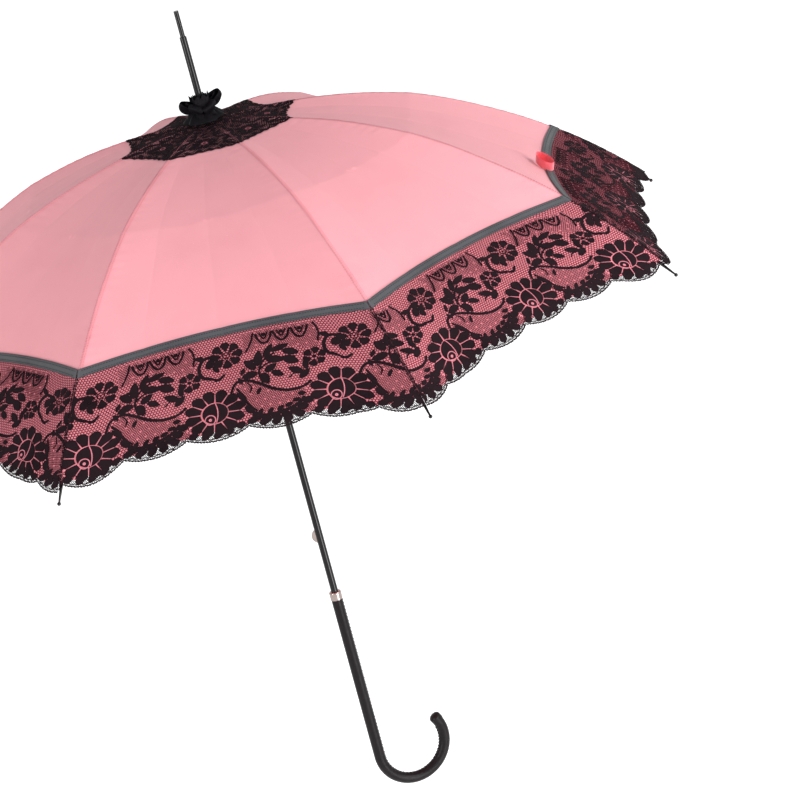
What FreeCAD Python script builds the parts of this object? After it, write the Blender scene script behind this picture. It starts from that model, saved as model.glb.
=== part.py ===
import math
import os

import FreeCAD
import Part

# Lace parasol, open. Millimetres. +Z runs up the shaft, the origin is on the shaft's axis at the
# middle of the grip, and the crook lies in the XZ plane, open towards +X, under the first rib.

doc = FreeCAD.newDocument("lace_parasol")
sheet = doc.addObject("Spreadsheet::Sheet", "dims")

DIMENSIONS = [
    ("rib_count", 8, "ribs, stretchers and canopy panels"),
    ("crown_height", 648, "height of the crown's rib pivots above the grip"),
    ("pivot_ring", 9, "radius of the circle on which the ribs pivot"),
    ("link_length", 222.3, "rib pivot to stretcher joint, and the stretcher's own length"),
    ("open_angle", 79.2, "inner rib to the downward axis when open, degrees"),
    ("inner_bow", 9.3, "rise of the inner rib's bow over its chord"),
    ("outer_chord", 308.4, "stretcher joint to tip ball"),
    ("outer_droop", 35.8, "outer rib's chord below level when open, degrees"),
    ("outer_bow", 16, "rise of the outer rib's bow over its chord"),
    ("rib_radius", 1.3, "outside radius of the fluted rib"),
    ("flute_radius", 0.8, "radius of the flute"),
    ("flute_drop", 0.8, "flute's centre below the rib's centre"),
    ("tongue_length", 7, "flat tongue at the end of a rib or stretcher"),
    ("tongue_depth", 2.6, "height of the tongue"),
    ("tongue_thick", 1.4, "thickness of the tongue in a notch"),
    ("eye_radius", 1.9, "eye round a pivot"),
    ("wire_radius", 0.6, "ring wire that threads the eyes"),
    ("wire_hole", 0.75, "hole for the ring wire"),
    ("rib_eye_thick", 1.2, "inner rib's eye at the stretcher joint"),
    ("cheek_inner", 0.9, "outer rib's cheeks, inside face from the middle"),
    ("cheek_outer", 1.5, "outer rib's cheeks, outside face from the middle"),
    ("cheek_radius", 2.0, "outer rib's cheeks, radius"),
    ("fork_inner", 1.8, "stretcher fork, inside face from the middle"),
    ("fork_outer", 2.4, "stretcher fork, outside face from the middle"),
    ("fork_radius", 2.2, "stretcher fork, radius"),
    ("fork_length", 16, "stretcher fork, length"),
    ("fork_bridge", 5, "solid bridge behind the fork"),
    ("rivet_radius", 0.7, "joint rivet"),
    ("rivet_hole", 0.76, "hole for the joint rivet"),
    ("rivet_head", 1.4, "rivet head radius"),
    ("rivet_head_thick", 0.6, "rivet head thickness"),
    ("channel_width", 2.6, "stretcher channel, outside width"),
    ("channel_depth", 2.4, "stretcher channel, outside depth"),
    ("channel_wall", 0.5, "stretcher channel, sheet thickness"),
    ("tip_length", 22, "tip, from the rib's end to the middle of its ball"),
    ("tip_socket", 5, "wide foot of the tip"),
    ("tip_base_radius", 1.6, "tip radius at the rib"),
    ("tip_neck_radius", 0.9, "tip radius at the ball"),
    ("tip_ball_radius", 1.95, "ball of the tip"),
    ("shaft_radius", 4, "shaft tube, outside radius"),
    ("shaft_wall", 0.8, "shaft tube, wall"),
    ("shaft_bottom", 40, "lower end of the shaft, inside the handle"),
    ("shaft_rise", 6.8, "shaft's top above the crown pivots"),
    ("notch_radius", 10.8, "crown and runner notch rings, radius"),
    ("notch_below", 3, "notch ring below its pivots"),
    ("notch_above", 2.5, "notch ring above its pivots"),
    ("notch_slot", 2.0, "slot for one rib or stretcher"),
    ("notch_slot_floor", 6.6, "radius at the bottom of a slot"),
    ("groove_floor", 8.3, "radius at the bottom of the wire groove"),
    ("groove_height", 1.5, "height of the wire groove"),
    ("seat_gap", 0.03, "gap of a seated sleeve round the shaft"),
    ("runner_gap", 0.06, "running gap of the runner on the shaft"),
    ("hub_radius", 6.4, "crown hub below its ring"),
    ("hub_length", 10, "crown hub below its ring"),
    ("pin_radius", 0.9, "cross pin of the crown"),
    ("runner_radius", 6, "runner sleeve, outside radius"),
    ("runner_length", 45, "runner sleeve below its ring"),
    ("catch_drop", 31, "catch below the runner's pivots when it holds"),
    ("catch_azimuth", 157.5, "side of the shaft with the catches, degrees"),
    ("catch_radius", 8.5, "half moon catch, reach from the shaft's axis"),
    ("catch_back", 1.4, "straight back of the catch from the axis"),
    ("catch_thick", 1.6, "thickness of the catch"),
    ("catch_slot", 2.0, "width of the catch slots"),
    ("catch_slot_height", 16.8, "height of the shaft's catch slots"),
    ("window_height", 18, "height of the runner's catch window"),
    ("lower_catch", 173.2, "height of the lower catch"),
    ("cap_radius", 11, "crown cap over the fabric"),
    ("cap_rise", 5.3, "underside of the crown cap above the pivots"),
    ("cap_thick", 1.5, "thickness of the crown cap"),
    ("ferrule_radius", 3.7, "ferrule, radius"),
    ("ferrule_top", 746.4, "ferrule, height of its shoulder"),
    ("spigot_length", 12, "ferrule's spigot inside the shaft"),
    ("nose_radius", 2.6, "ferrule's thin nose, radius"),
    ("nose_length", 28.3, "ferrule's thin nose, length"),
    ("nose_stub", 2.1, "nose's stub inside the ferrule, radius"),
    ("nose_seat", 10, "nose's stub inside the ferrule, length"),
    ("rosette_foot", 26.5, "rosette, widest radius"),
    ("rosette_head", 13, "rosette, radius at its top"),
    ("rosette_height", 28, "rosette, height"),
    ("handle_radius", 6.2, "leather grip, radius"),
    ("leather", 1, "leather with its glue line"),
    ("handle_top", 96.5, "top of the grip"),
    ("crook_height", -99.4, "height at which the crook starts to bend"),
    ("crook_radius", 39.65, "crook's centre line"),
    ("crook_turn", 203, "crook's turn up to its cap, degrees"),
    ("cap_turn", 7, "end cap's turn, degrees"),
    ("cap_flare", 0.55, "end cap stands proud of the leather"),
    ("cap_dome", 4, "end cap's dome"),
    ("collar_radius", 6.7, "nickel collar, radius"),
    ("collar_height", 9.4, "nickel collar, height"),
    ("collar_round", 1.6, "rounding of the collar's top edge"),
    ("fabric_lift", 4.1, "fabric over the ribs' centre line"),
    ("fabric_hole", 6, "radius of the canopy's hole round the shaft"),
    ("fabric_thick", 0.5, "thickness of a layer of the cover"),
    ("layer_gap", 0.3, "gap between two layers of the cover"),
    ("seam_gap", 0.25, "half the gap between two panels at a seam"),
    ("panel_sag", 8, "how far a panel sinks between its ribs"),
    ("corner_back", 10, "canopy corner, short of the tip ball"),
    ("hem_rise", 15, "hem's rise between two ribs, along the panel"),
    ("panel_short", 9, "panel's hem, short of the lace's hem"),
    ("patch_along", 89, "top patch's corner, along the rib from its pivot"),
    ("ribbon_along", 171, "ribbon's upper edge, along the rib from the stretcher joint"),
    ("ribbon_rise", 15, "ribbon's rise between two ribs, along the panel"),
    ("ribbon_width", 9.5, "width of the ribbon"),
    ("strap_azimuth", -28, "side with the tie strap, degrees"),
    ("strap_along", 156, "tie strap, along the panel from the stretcher joint"),
    ("strap_turn", -45, "tie strap's long side from the line down the panel, degrees"),
    ("strap_length", 16, "straight side of the tie strap's loop"),
    ("strap_radius", 6, "round ends of the tie strap's loop, outside radius"),
    ("strap_width", 10, "width of the tie strap"),
    ("strap_thick", 0.8, "thickness of the tie strap"),
    ("strap_lift", 2.2, "tie strap's lower edge over the panel"),
]
for line, (alias, value, note) in enumerate(DIMENSIONS, start=1):
    sheet.set("A%d" % line, alias.replace("_", " "))
    sheet.set("B%d" % line, str(value))
    sheet.setAlias("B%d" % line, alias)
    sheet.set("C%d" % line, note)
doc.recompute()


def dim(alias):
    return float(sheet.get(alias))


def moved(x=0.0, y=0.0, z=0.0):
    return FreeCAD.Placement(FreeCAD.Vector(x, y, z), FreeCAD.Rotation())


def turned(angle):
    """A turn about the local Z axis, in degrees."""
    return FreeCAD.Placement(FreeCAD.Vector(), FreeCAD.Rotation(FreeCAD.Vector(0, 0, 1), angle))


def tipped():
    """Turns the local Z axis, along which cylinders stand, onto the local X axis."""
    return FreeCAD.Placement(FreeCAD.Vector(), FreeCAD.Rotation(FreeCAD.Vector(0, 1, 0), 90))


def in_plane(azimuth, radius, height, droop):
    """A frame in the upright plane at an azimuth. Its X axis points away from the shaft, droop degrees
    below level, and its Z axis is the pivot axis of that plane's links."""
    side = math.radians(azimuth)
    down = math.radians(droop)
    out = FreeCAD.Vector(math.cos(side), math.sin(side), 0)
    along = out * math.cos(down) - FreeCAD.Vector(0, 0, math.sin(down))
    across = FreeCAD.Vector(-math.sin(side), math.cos(side), 0)
    third = across.cross(along)
    matrix = FreeCAD.Matrix(
        along.x, third.x, across.x, out.x * radius,
        along.y, third.y, across.y, out.y * radius,
        along.z, third.z, across.z, height,
        0, 0, 0, 1,
    )
    return FreeCAD.Placement(matrix)


def primitive(kind, name, sizes, frame):
    item = doc.addObject("Part::" + kind, name)
    for size, expression in sizes.items():
        item.setExpression(size, expression)
    item.Placement = frame
    return item


def cylinder(name, radius, height, frame):
    return primitive("Cylinder", name, {"Radius": radius, "Height": height}, frame)


def box(name, length, width, height, frame):
    return primitive("Box", name, {"Length": length, "Width": width, "Height": height}, frame)


def ring(name, radius, thickness, angle, frame):
    sizes = {"Radius1": radius, "Radius2": thickness, "Angle3": angle}
    item = primitive("Torus", name, sizes, frame)
    item.Angle1 = -180
    item.Angle2 = 180
    return item


def joined(name, items):
    item = doc.addObject("Part::MultiFuse", name)
    item.Shapes = items
    return item


def cut(name, base, tools):
    item = doc.addObject("Part::Cut", name)
    item.Base = base
    item.Tool = tools[0] if len(tools) == 1 else joined(name + "_tools", tools)
    return item


def group(name, items):
    item = doc.addObject("Part::Compound", name)
    item.Links = items
    return item


nodes = []


def node(item, label):
    item.Label = label
    nodes.append(item)
    return item


# Places of the linkage in the upright plane of one rib, as (radius, height).

RIBS = int(dim("rib_count"))
STEP = 360.0 / RIBS
OPEN = math.radians(dim("open_angle"))
CROWN = (dim("pivot_ring"), dim("crown_height"))
JOINT = (
    CROWN[0] + dim("link_length") * math.sin(OPEN),
    CROWN[1] - dim("link_length") * math.cos(OPEN),
)
RUNNER = (dim("pivot_ring"), CROWN[1] - 2 * dim("link_length") * math.cos(OPEN))
DROOP = math.radians(dim("outer_droop"))
BALL = (
    JOINT[0] + dim("outer_chord") * math.cos(DROOP),
    JOINT[1] - dim("outer_chord") * math.sin(DROOP),
)


class Arc:
    """A bowed rib: a circular arc from one point to another that rises over its chord."""

    def __init__(self, start, end, rise):
        run = end[0] - start[0]
        drop = end[1] - start[1]
        chord = math.hypot(run, drop)
        self.radius = (chord**2 / 4 + rise**2) / (2 * rise)
        self.half = math.asin(chord / (2 * self.radius))
        lift = (self.radius - rise) / chord
        self.centre = (
            (start[0] + end[0]) / 2 + drop * lift,
            (start[1] + end[1]) / 2 - run * lift,
        )
        self.length = 2 * self.half * self.radius
        self.droop = math.atan2(-drop, run)

    def angle(self, along):
        """The droop, in radians, of the radius that points at a place this far along the arc."""
        return self.droop - math.pi / 2 - self.half + along / self.radius

    def point(self, along, lift=0.0):
        where = self.angle(along)
        reach = self.radius + lift
        return (
            self.centre[0] + reach * math.cos(where),
            self.centre[1] - reach * math.sin(where),
        )

    def frame(self, azimuth, along):
        """A frame on the arc, its X axis along the arc."""
        place = self.point(along)
        droop = math.degrees(self.angle(along)) + 90
        return in_plane(azimuth, place[0], place[1], droop)

    def centre_frame(self, azimuth, along):
        """A frame at the arc's centre, its X axis towards a place on the arc."""
        return in_plane(azimuth, self.centre[0], self.centre[1], math.degrees(self.angle(along)))


INNER = Arc(CROWN, JOINT, dim("inner_bow"))
OUTER = Arc(JOINT, BALL, dim("outer_bow"))
INNER_BEND = "(dims.link_length ^ 2 / 4 + dims.inner_bow ^ 2) / (2 * dims.inner_bow)"
OUTER_BEND = "(dims.outer_chord ^ 2 / 4 + dims.outer_bow ^ 2) / (2 * dims.outer_bow)"
INNER_SWEEP = "2 * asin(dims.link_length / 2 / (%s))" % INNER_BEND
OUTER_SWEEP = "2 * asin(dims.outer_chord / 2 / (%s))" % OUTER_BEND
FLUTE_SPARE = 1.0
TONGUE_LAP = 2.0


def fluted(name, arc, bend, sweep, azimuth, start, end):
    """A bowed rib of round section with a flute along its underside."""
    turn = "%s - %.12g deg" % (sweep, math.degrees((start + end) / arc.radius))
    spare = math.degrees(FLUTE_SPARE / arc.radius)
    rod = ring(name + "_rod", bend, "dims.rib_radius", turn, arc.centre_frame(azimuth, start))
    flute = ring(
        name + "_flute",
        bend + " - dims.flute_drop",
        "dims.flute_radius",
        "%s + %.12g deg" % (turn, 2 * spare),
        arc.centre_frame(azimuth, start - FLUTE_SPARE),
    )
    return cut(name + "_channel", rod, [flute])


def tongue(name, frame, thick, ahead):
    """A flat tongue that ends in an eye at the frame's origin, before it or ahead of it."""
    half = dim(thick) / 2
    start = 0.0 if ahead else -dim("tongue_length")
    blade = box(
        name + "_blade",
        "dims.tongue_length",
        "dims.tongue_depth",
        "dims." + thick,
        frame * moved(start, -dim("tongue_depth") / 2, -half),
    )
    eye = cylinder(name + "_eye", "dims.eye_radius", "dims." + thick, frame * moved(0, 0, -half))
    return [blade, eye]


def hole(name, radius, frame):
    reach = dim("fork_outer") + 1
    item = cylinder(name, "dims." + radius, "2 * (dims.fork_outer + 1)", frame * moved(0, 0, -reach))
    return item


def inner_rib(number, azimuth):
    name = "rib_inner_%d" % number
    start = dim("tongue_length") - TONGUE_LAP
    channel = fluted(name, INNER, INNER_BEND, INNER_SWEEP, azimuth, start, start)
    crown_frame = INNER.frame(azimuth, 0)
    joint_frame = INNER.frame(azimuth, INNER.length)
    solid = [channel]
    solid += tongue(name + "_crown", crown_frame, "tongue_thick", True)
    solid += tongue(name + "_joint", joint_frame, "rib_eye_thick", False)
    holes = [
        hole(name + "_wire_hole", "wire_hole", crown_frame),
        hole(name + "_rivet_hole", "rivet_hole", joint_frame),
    ]
    return node(cut(name, joined(name + "_solid", solid), holes), name)


def cheeks(name, frame, radius, inner, outer, length, depth):
    """Two flat cheeks either side of the middle, each ending in an eye at the frame's origin."""
    thick = "dims.%s - dims.%s" % (outer, inner)
    items = []
    for side, low in (("near", -dim(outer)), ("far", dim(inner))):
        eye = cylinder("%s_%s_eye" % (name, side), "dims." + radius, thick, frame * moved(0, 0, low))
        blade = box(
            "%s_%s_blade" % (name, side),
            "dims." + length,
            "dims." + depth,
            thick,
            frame * moved(0, -dim(depth) / 2, low),
        )
        items += [eye, blade]
    return items


def outer_rib(number, azimuth):
    name = "rib_outer_%d" % number
    start = dim("tongue_length") - TONGUE_LAP
    channel = fluted(name, OUTER, OUTER_BEND, OUTER_SWEEP, azimuth, start, dim("tip_length"))
    frame = OUTER.frame(azimuth, 0)
    solid = [channel]
    solid += cheeks(
        name, frame, "cheek_radius", "cheek_inner", "cheek_outer", "tongue_length", "tongue_depth"
    )
    rivet_hole = hole(name + "_rivet_hole", "rivet_hole", frame)
    return node(cut(name, joined(name + "_solid", solid), [rivet_hole]), name)


def rib_tip(number, azimuth):
    name = "rib_tip_%d" % number
    foot = OUTER.frame(azimuth, OUTER.length - dim("tip_length"))
    socket = cylinder(name + "_socket", "dims.tip_base_radius", "dims.tip_socket", foot * tipped())
    sizes = {
        "Radius1": "dims.tip_base_radius",
        "Radius2": "dims.tip_neck_radius",
        "Height": "dims.tip_length - dims.tip_socket",
    }
    needle_frame = foot * moved(dim("tip_socket")) * tipped()
    needle = primitive("Cone", name + "_needle", sizes, needle_frame)
    ball_frame = foot * moved(dim("tip_length"))
    ball = primitive("Sphere", name + "_ball", {"Radius": "dims.tip_ball_radius"}, ball_frame)
    return node(joined(name, [socket, needle, ball]), name)


def stretcher(number, azimuth):
    """A straight channel from the stretcher joint to the runner, forked over the rib, with its rivet."""
    name = "stretcher_%d" % number
    droop = 90 + dim("open_angle")
    frame = in_plane(azimuth, JOINT[0], JOINT[1], droop)
    end_frame = frame * moved(dim("link_length"))
    solid = cheeks(
        name, frame, "fork_radius", "fork_inner", "fork_outer", "fork_length", "tongue_depth"
    )
    bridge_start = dim("fork_length") - TONGUE_LAP
    depth = dim("tongue_depth")
    bridge = box(
        name + "_bridge",
        "dims.fork_bridge",
        "dims.tongue_depth",
        "2 * dims.fork_outer",
        frame * moved(bridge_start, -depth / 2, -dim("fork_outer")),
    )
    channel_start = bridge_start + dim("fork_bridge") - TONGUE_LAP
    channel_length = dim("link_length") - channel_start - dim("tongue_length") + TONGUE_LAP
    corner = (channel_start, -dim("channel_depth") / 2, -dim("channel_width") / 2)
    rail = box(
        name + "_rail",
        "%.12g" % channel_length,
        "dims.channel_depth",
        "dims.channel_width",
        frame * moved(*corner),
    )
    wall = dim("channel_wall")
    trough = box(
        name + "_trough",
        "%.12g" % channel_length,
        "dims.channel_depth",
        "dims.channel_width - 2 * dims.channel_wall",
        frame * moved(corner[0], corner[1] - wall, corner[2] + wall),
    )
    solid += [bridge, cut(name + "_channel", rail, [trough])]
    solid += tongue(name + "_runner", end_frame, "tongue_thick", False)
    holes = [
        hole(name + "_wire_hole", "wire_hole", end_frame),
        hole(name + "_rivet_hole", "rivet_hole", frame),
    ]
    link = cut(name + "_link", joined(name + "_solid", solid), holes)
    gap = dim("seat_gap")
    reach = dim("fork_outer") + gap
    shank = cylinder(
        name + "_rivet_shank",
        "dims.rivet_radius",
        "2 * (dims.fork_outer + dims.seat_gap)",
        frame * moved(0, 0, -reach),
    )
    heads = []
    for side, low in (("near", -reach - dim("rivet_head_thick")), ("far", reach)):
        head = cylinder(
            "%s_rivet_%s" % (name, side),
            "dims.rivet_head",
            "dims.rivet_head_thick",
            frame * moved(0, 0, low),
        )
        heads.append(head)
    rivet = joined(name + "_rivet", [shank] + heads)
    return node(group(name, [link, rivet]), name)


def slotted_ring(name, height):
    """The cutters of a notch ring: a slot for each link and a groove for the ring wire."""
    tools = []
    tall = "dims.notch_below + dims.notch_above + 2"
    for number in range(RIBS):
        frame = in_plane(number * STEP, 0, height, 0)
        side = dim("notch_slot") / 2
        low = dim("notch_above") + 1
        tools.append(
            box(
                "%s_slot_%d" % (name, number + 1),
                "dims.notch_radius",
                tall,
                "dims.notch_slot",
                frame * moved(dim("notch_slot_floor"), -low, -side),
            )
        )
    low = height - dim("groove_height") / 2
    rim = cylinder(name + "_rim", "dims.notch_radius + 1", "dims.groove_height", moved(0, 0, low))
    floor = cylinder(name + "_floor", "dims.groove_floor", "dims.groove_height", moved(0, 0, low))
    tools.append(cut(name + "_groove", rim, [floor]))
    return tools


def ring_wire(label, height):
    return node(ring(label, "dims.pivot_ring", "dims.wire_radius", "360", moved(0, 0, height)), label)


def crown():
    height = CROWN[1]
    low = height - dim("notch_below")
    notch = cylinder(
        "crown_ring", "dims.notch_radius", "dims.notch_below + dims.notch_above", moved(0, 0, low)
    )
    hub_low = low - dim("hub_length")
    hub = cylinder("crown_hub", "dims.hub_radius", "dims.hub_length", moved(0, 0, hub_low))
    bore = cylinder(
        "crown_bore",
        "dims.shaft_radius + dims.seat_gap",
        "dims.hub_length + dims.notch_below + dims.notch_above",
        moved(0, 0, hub_low),
    )
    pin_place = FreeCAD.Placement(
        FreeCAD.Vector(-dim("hub_radius"), 0, low - dim("hub_length") / 2),
        FreeCAD.Rotation(FreeCAD.Vector(0, 1, 0), 90),
    )
    turn = turned(STEP / 2)
    pin_hole = cylinder(
        "crown_pin_hole", "dims.pin_radius + dims.seat_gap", "2 * dims.hub_radius", turn * pin_place
    )
    tools = slotted_ring("crown", height) + [bore, pin_hole]
    node(cut("crown_notch", joined("crown_solid", [notch, hub]), tools), "crown_notch")
    ring_wire("crown_wire", height)
    node(cylinder("crown_pin", "dims.pin_radius", "2 * dims.hub_radius", turn * pin_place), "crown_pin")
    cap_low = height + dim("cap_rise")
    cap = cylinder("crown_cap_disc", "dims.cap_radius", "dims.cap_thick", moved(0, 0, cap_low))
    cap_bore = cylinder(
        "crown_cap_bore", "dims.shaft_radius + dims.seat_gap", "dims.cap_thick", moved(0, 0, cap_low)
    )
    node(cut("crown_cap", cap, [cap_bore]), "crown_cap")
    return turn * pin_place


def catch_frame(height):
    return in_plane(dim("catch_azimuth"), 0, height, 0)


def catch(label, height):
    """A half moon blade in the shaft's slot, held out by its own spring leaf."""
    side = dim("catch_thick") / 2
    frame = catch_frame(height)
    moon = cylinder(label + "_moon", "dims.catch_radius", "dims.catch_thick", frame * moved(0, 0, -side))
    blank = box(
        label + "_blank",
        "dims.catch_radius",
        "2 * dims.catch_radius",
        "dims.catch_thick",
        frame * moved(dim("catch_back"), -dim("catch_radius"), -side),
    )
    item = doc.addObject("Part::Common", label)
    item.Base = moon
    item.Tool = blank
    return node(item, label)


def catch_opening(name, height, tall):
    side = dim("catch_slot") / 2
    frame = catch_frame(height) * moved(0, -dim(tall) / 2, -side)
    return box(name, "dims.notch_radius", "dims." + tall, "dims.catch_slot", frame)


def shaft(pin_place):
    bottom = dim("shaft_bottom")
    height = "dims.crown_height + dims.shaft_rise - dims.shaft_bottom"
    tube = cylinder("shaft_tube", "dims.shaft_radius", height, moved(0, 0, bottom))
    bore = cylinder(
        "shaft_bore", "dims.shaft_radius - dims.shaft_wall", height, moved(0, 0, bottom)
    )
    upper = RUNNER[1] - dim("catch_drop")
    tools = [
        bore,
        catch_opening("shaft_upper_slot", upper, "catch_slot_height"),
        catch_opening("shaft_lower_slot", dim("lower_catch"), "catch_slot_height"),
        cylinder(
            "shaft_pin_hole", "dims.pin_radius + dims.seat_gap", "2 * dims.hub_radius", pin_place
        ),
    ]
    node(cut("shaft", tube, tools), "shaft")
    catch("catch_upper", upper)
    catch("catch_lower", dim("lower_catch"))


def runner():
    height = RUNNER[1]
    low = height - dim("notch_below")
    notch = cylinder(
        "runner_ring", "dims.notch_radius", "dims.notch_below + dims.notch_above", moved(0, 0, low)
    )
    sleeve_low = low - dim("runner_length")
    sleeve = cylinder("runner_sleeve", "dims.runner_radius", "dims.runner_length", moved(0, 0, sleeve_low))
    lip_height = 4.0
    lip = cylinder("runner_lip", "dims.runner_radius + 1", str(lip_height), moved(0, 0, sleeve_low))
    bore = cylinder(
        "runner_bore",
        "dims.shaft_radius + dims.runner_gap",
        "dims.runner_length + dims.notch_below + dims.notch_above",
        moved(0, 0, sleeve_low),
    )
    window = catch_opening("runner_window", height - dim("catch_drop"), "window_height")
    tools = slotted_ring("runner", height) + [bore, window]
    node(cut("runner", joined("runner_solid", [notch, sleeve, lip]), tools), "runner")
    ring_wire("runner_wire", height)


def ferrule():
    foot = CROWN[1] + dim("cap_rise") + dim("cap_thick")
    length = "dims.ferrule_top - dims.crown_height - dims.cap_rise - dims.cap_thick"
    barrel = cylinder("ferrule_barrel", "dims.ferrule_radius", length, moved(0, 0, foot))
    spigot = cylinder(
        "ferrule_spigot",
        "dims.shaft_radius - dims.shaft_wall - dims.seat_gap",
        "dims.spigot_length + dims.seat_gap",
        moved(0, 0, foot - dim("spigot_length")),
    )
    seat_low = dim("ferrule_top") - dim("nose_seat")
    seat = cylinder(
        "ferrule_seat", "dims.nose_stub + dims.seat_gap", "dims.nose_seat", moved(0, 0, seat_low)
    )
    node(cut("ferrule", joined("ferrule_solid", [barrel, spigot]), [seat]), "ferrule")
    stub = cylinder("nose_stub_rod", "dims.nose_stub", "dims.nose_seat", moved(0, 0, seat_low))
    rod = cylinder(
        "nose_rod", "dims.nose_radius", "dims.nose_length", moved(0, 0, dim("ferrule_top"))
    )
    node(joined("ferrule_nose", [stub, rod]), "ferrule_nose")


def rosette():
    foot = CROWN[1] + dim("cap_rise") + dim("cap_thick") + dim("layer_gap")
    sizes = {
        "Radius1": "dims.rosette_foot",
        "Radius2": "dims.rosette_head",
        "Height": "dims.rosette_height",
    }
    cone = primitive("Cone", "rosette_cone", sizes, moved(0, 0, foot))
    well = cylinder(
        "rosette_well", "dims.ferrule_radius + dims.layer_gap", "dims.rosette_height", moved(0, 0, foot)
    )
    node(cut("rosette", cone, [well]), "rosette")


def crook(name, radius, turn, frame):
    return ring(name, "dims.crook_radius", radius, turn, frame)


def handle():
    low = dim("crook_height")
    straight = "dims.handle_top - dims.crook_height"
    centre = in_plane(180, -dim("crook_radius"), low, 0)
    core_radius = "dims.handle_radius - dims.leather"
    sleeve_radius = "dims.handle_radius - dims.leather + dims.seat_gap"
    core_rod = cylinder("core_rod", core_radius, straight, moved(0, 0, low))
    core_bend = crook("core_bend", core_radius, "dims.crook_turn", centre)
    depth = dim("handle_top") - dim("shaft_bottom")
    socket = cylinder(
        "core_socket",
        "dims.shaft_radius + dims.seat_gap",
        "dims.handle_top - dims.shaft_bottom",
        moved(0, 0, dim("handle_top") - depth),
    )
    node(cut("handle_core", joined("core_solid", [core_rod, core_bend]), [socket]), "handle_core")
    skin_rod = cylinder("skin_rod", "dims.handle_radius", straight, moved(0, 0, low))
    skin_bend = crook("skin_bend", "dims.handle_radius", "dims.crook_turn", centre)
    hollow_rod = cylinder("hollow_rod", sleeve_radius, straight, moved(0, 0, low))
    hollow_bend = crook("hollow_bend", sleeve_radius, "dims.crook_turn", centre)
    node(
        cut("handle_leather", joined("skin_solid", [skin_rod, skin_bend]), [hollow_rod, hollow_bend]),
        "handle_leather",
    )
    end = centre * turned(dim("crook_turn"))
    cap_radius = "dims.handle_radius + dims.cap_flare"
    bend = crook("cap_bend", cap_radius, "dims.cap_turn", end)
    dome_frame = centre * turned(dim("crook_turn") + dim("cap_turn")) * moved(dim("crook_radius"))
    upright = FreeCAD.Placement(FreeCAD.Vector(), FreeCAD.Rotation(FreeCAD.Vector(1, 0, 0), -90))
    dome = primitive(
        "Ellipsoid",
        "cap_dome_shape",
        {"Radius1": "dims.cap_dome", "Radius2": cap_radius, "Radius3": cap_radius},
        dome_frame * upright,
    )
    dome.Angle1 = 0
    node(joined("handle_cap", [bend, dome]), "handle_cap")


def collar():
    low = dim("handle_top")
    barrel = cylinder("collar_barrel", "dims.collar_radius", "dims.collar_height", moved(0, 0, low))
    doc.recompute()
    rounded = doc.addObject("Part::Fillet", "collar_rounded")
    rounded.Base = barrel
    rounded.Edges = [(3, dim("collar_round"), dim("collar_round"))]
    bore = cylinder(
        "collar_bore", "dims.shaft_radius + dims.seat_gap", "dims.collar_height", moved(0, 0, low)
    )
    node(cut("collar", rounded, [bore]), "collar")


# The cover. A panel's seams run over two ribs. Between them it is drawn straight across, and sinks a
# little. Places on it are given by how far they lie along the rib and how far across the panel.

COVER_LENGTH = INNER.length + OUTER.length


def seam_place(along):
    """Radius and height of the fabric over a rib, at a distance along it from the crown pivot."""
    if along <= INNER.length:
        return INNER.point(along, dim("fabric_lift"))
    return OUTER.point(along - INNER.length, dim("fabric_lift"))


def cover_place(azimuth, along, across):
    """A place on the panel that starts at a rib's azimuth, across running from 0 to 1."""
    radius, height = seam_place(along)
    left = math.radians(azimuth)
    right = math.radians(azimuth + STEP)
    width = 2 * radius * math.sin(math.radians(STEP / 2))
    spare = dim("seam_gap") / width
    share = spare + (1 - 2 * spare) * across
    x = radius * ((1 - share) * math.cos(left) + share * math.cos(right))
    y = radius * ((1 - share) * math.sin(left) + share * math.sin(right))
    reach = min(1.0, max(0.0, along / (COVER_LENGTH - dim("corner_back"))))
    sag = dim("panel_sag") * 4 * share * (1 - share) * math.sin(math.pi * reach)
    middle = math.radians(azimuth + STEP / 2)
    slope = math.atan2(seam_place(along - 1)[1] - seam_place(along + 1)[1], 2.0)
    return FreeCAD.Vector(
        x - sag * math.sin(slope) * math.cos(middle),
        y - sag * math.sin(slope) * math.sin(middle),
        height - sag * math.cos(slope),
    )


def cover_layer(azimuth, start, end, low, high, rows):
    """One panel's piece of a layer. start and end give its edges along the rib for a place across."""
    columns = 7
    faces = []
    surfaces = []
    for lift in (low, high):
        grid = []
        for row in range(rows):
            line = []
            for column in range(columns):
                across = column / (columns - 1)
                share = row / (rows - 1)
                along = start(across) + (end(across) - start(across)) * share
                place = cover_place(azimuth, along, across)
                step = 0.01
                run = cover_place(azimuth, along + 1, across) - place
                side = cover_place(azimuth, along, across + step) - place
                normal = run.cross(side)
                normal.normalize()
                line.append(place + normal * lift)
            grid.append(line)
        surface = Part.BSplineSurface()
        surface.interpolate(grid)
        surfaces.append(surface)
        faces.append(surface.toShape())
    lower, upper = surfaces
    u0, u1, v0, v1 = lower.bounds()
    for value in (u0, u1):
        faces.append(
            Part.makeRuledSurface(lower.uIso(value).toShape(), upper.uIso(value).toShape())
        )
    for value in (v0, v1):
        faces.append(
            Part.makeRuledSurface(lower.vIso(value).toShape(), upper.vIso(value).toShape())
        )
    shell = Part.makeShell(faces)
    shell.sewShape()
    solid = Part.makeSolid(shell)
    if solid.Volume < 0:
        solid.reverse()
    return solid


def bulge(across):
    return 4 * across * (1 - across)


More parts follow.
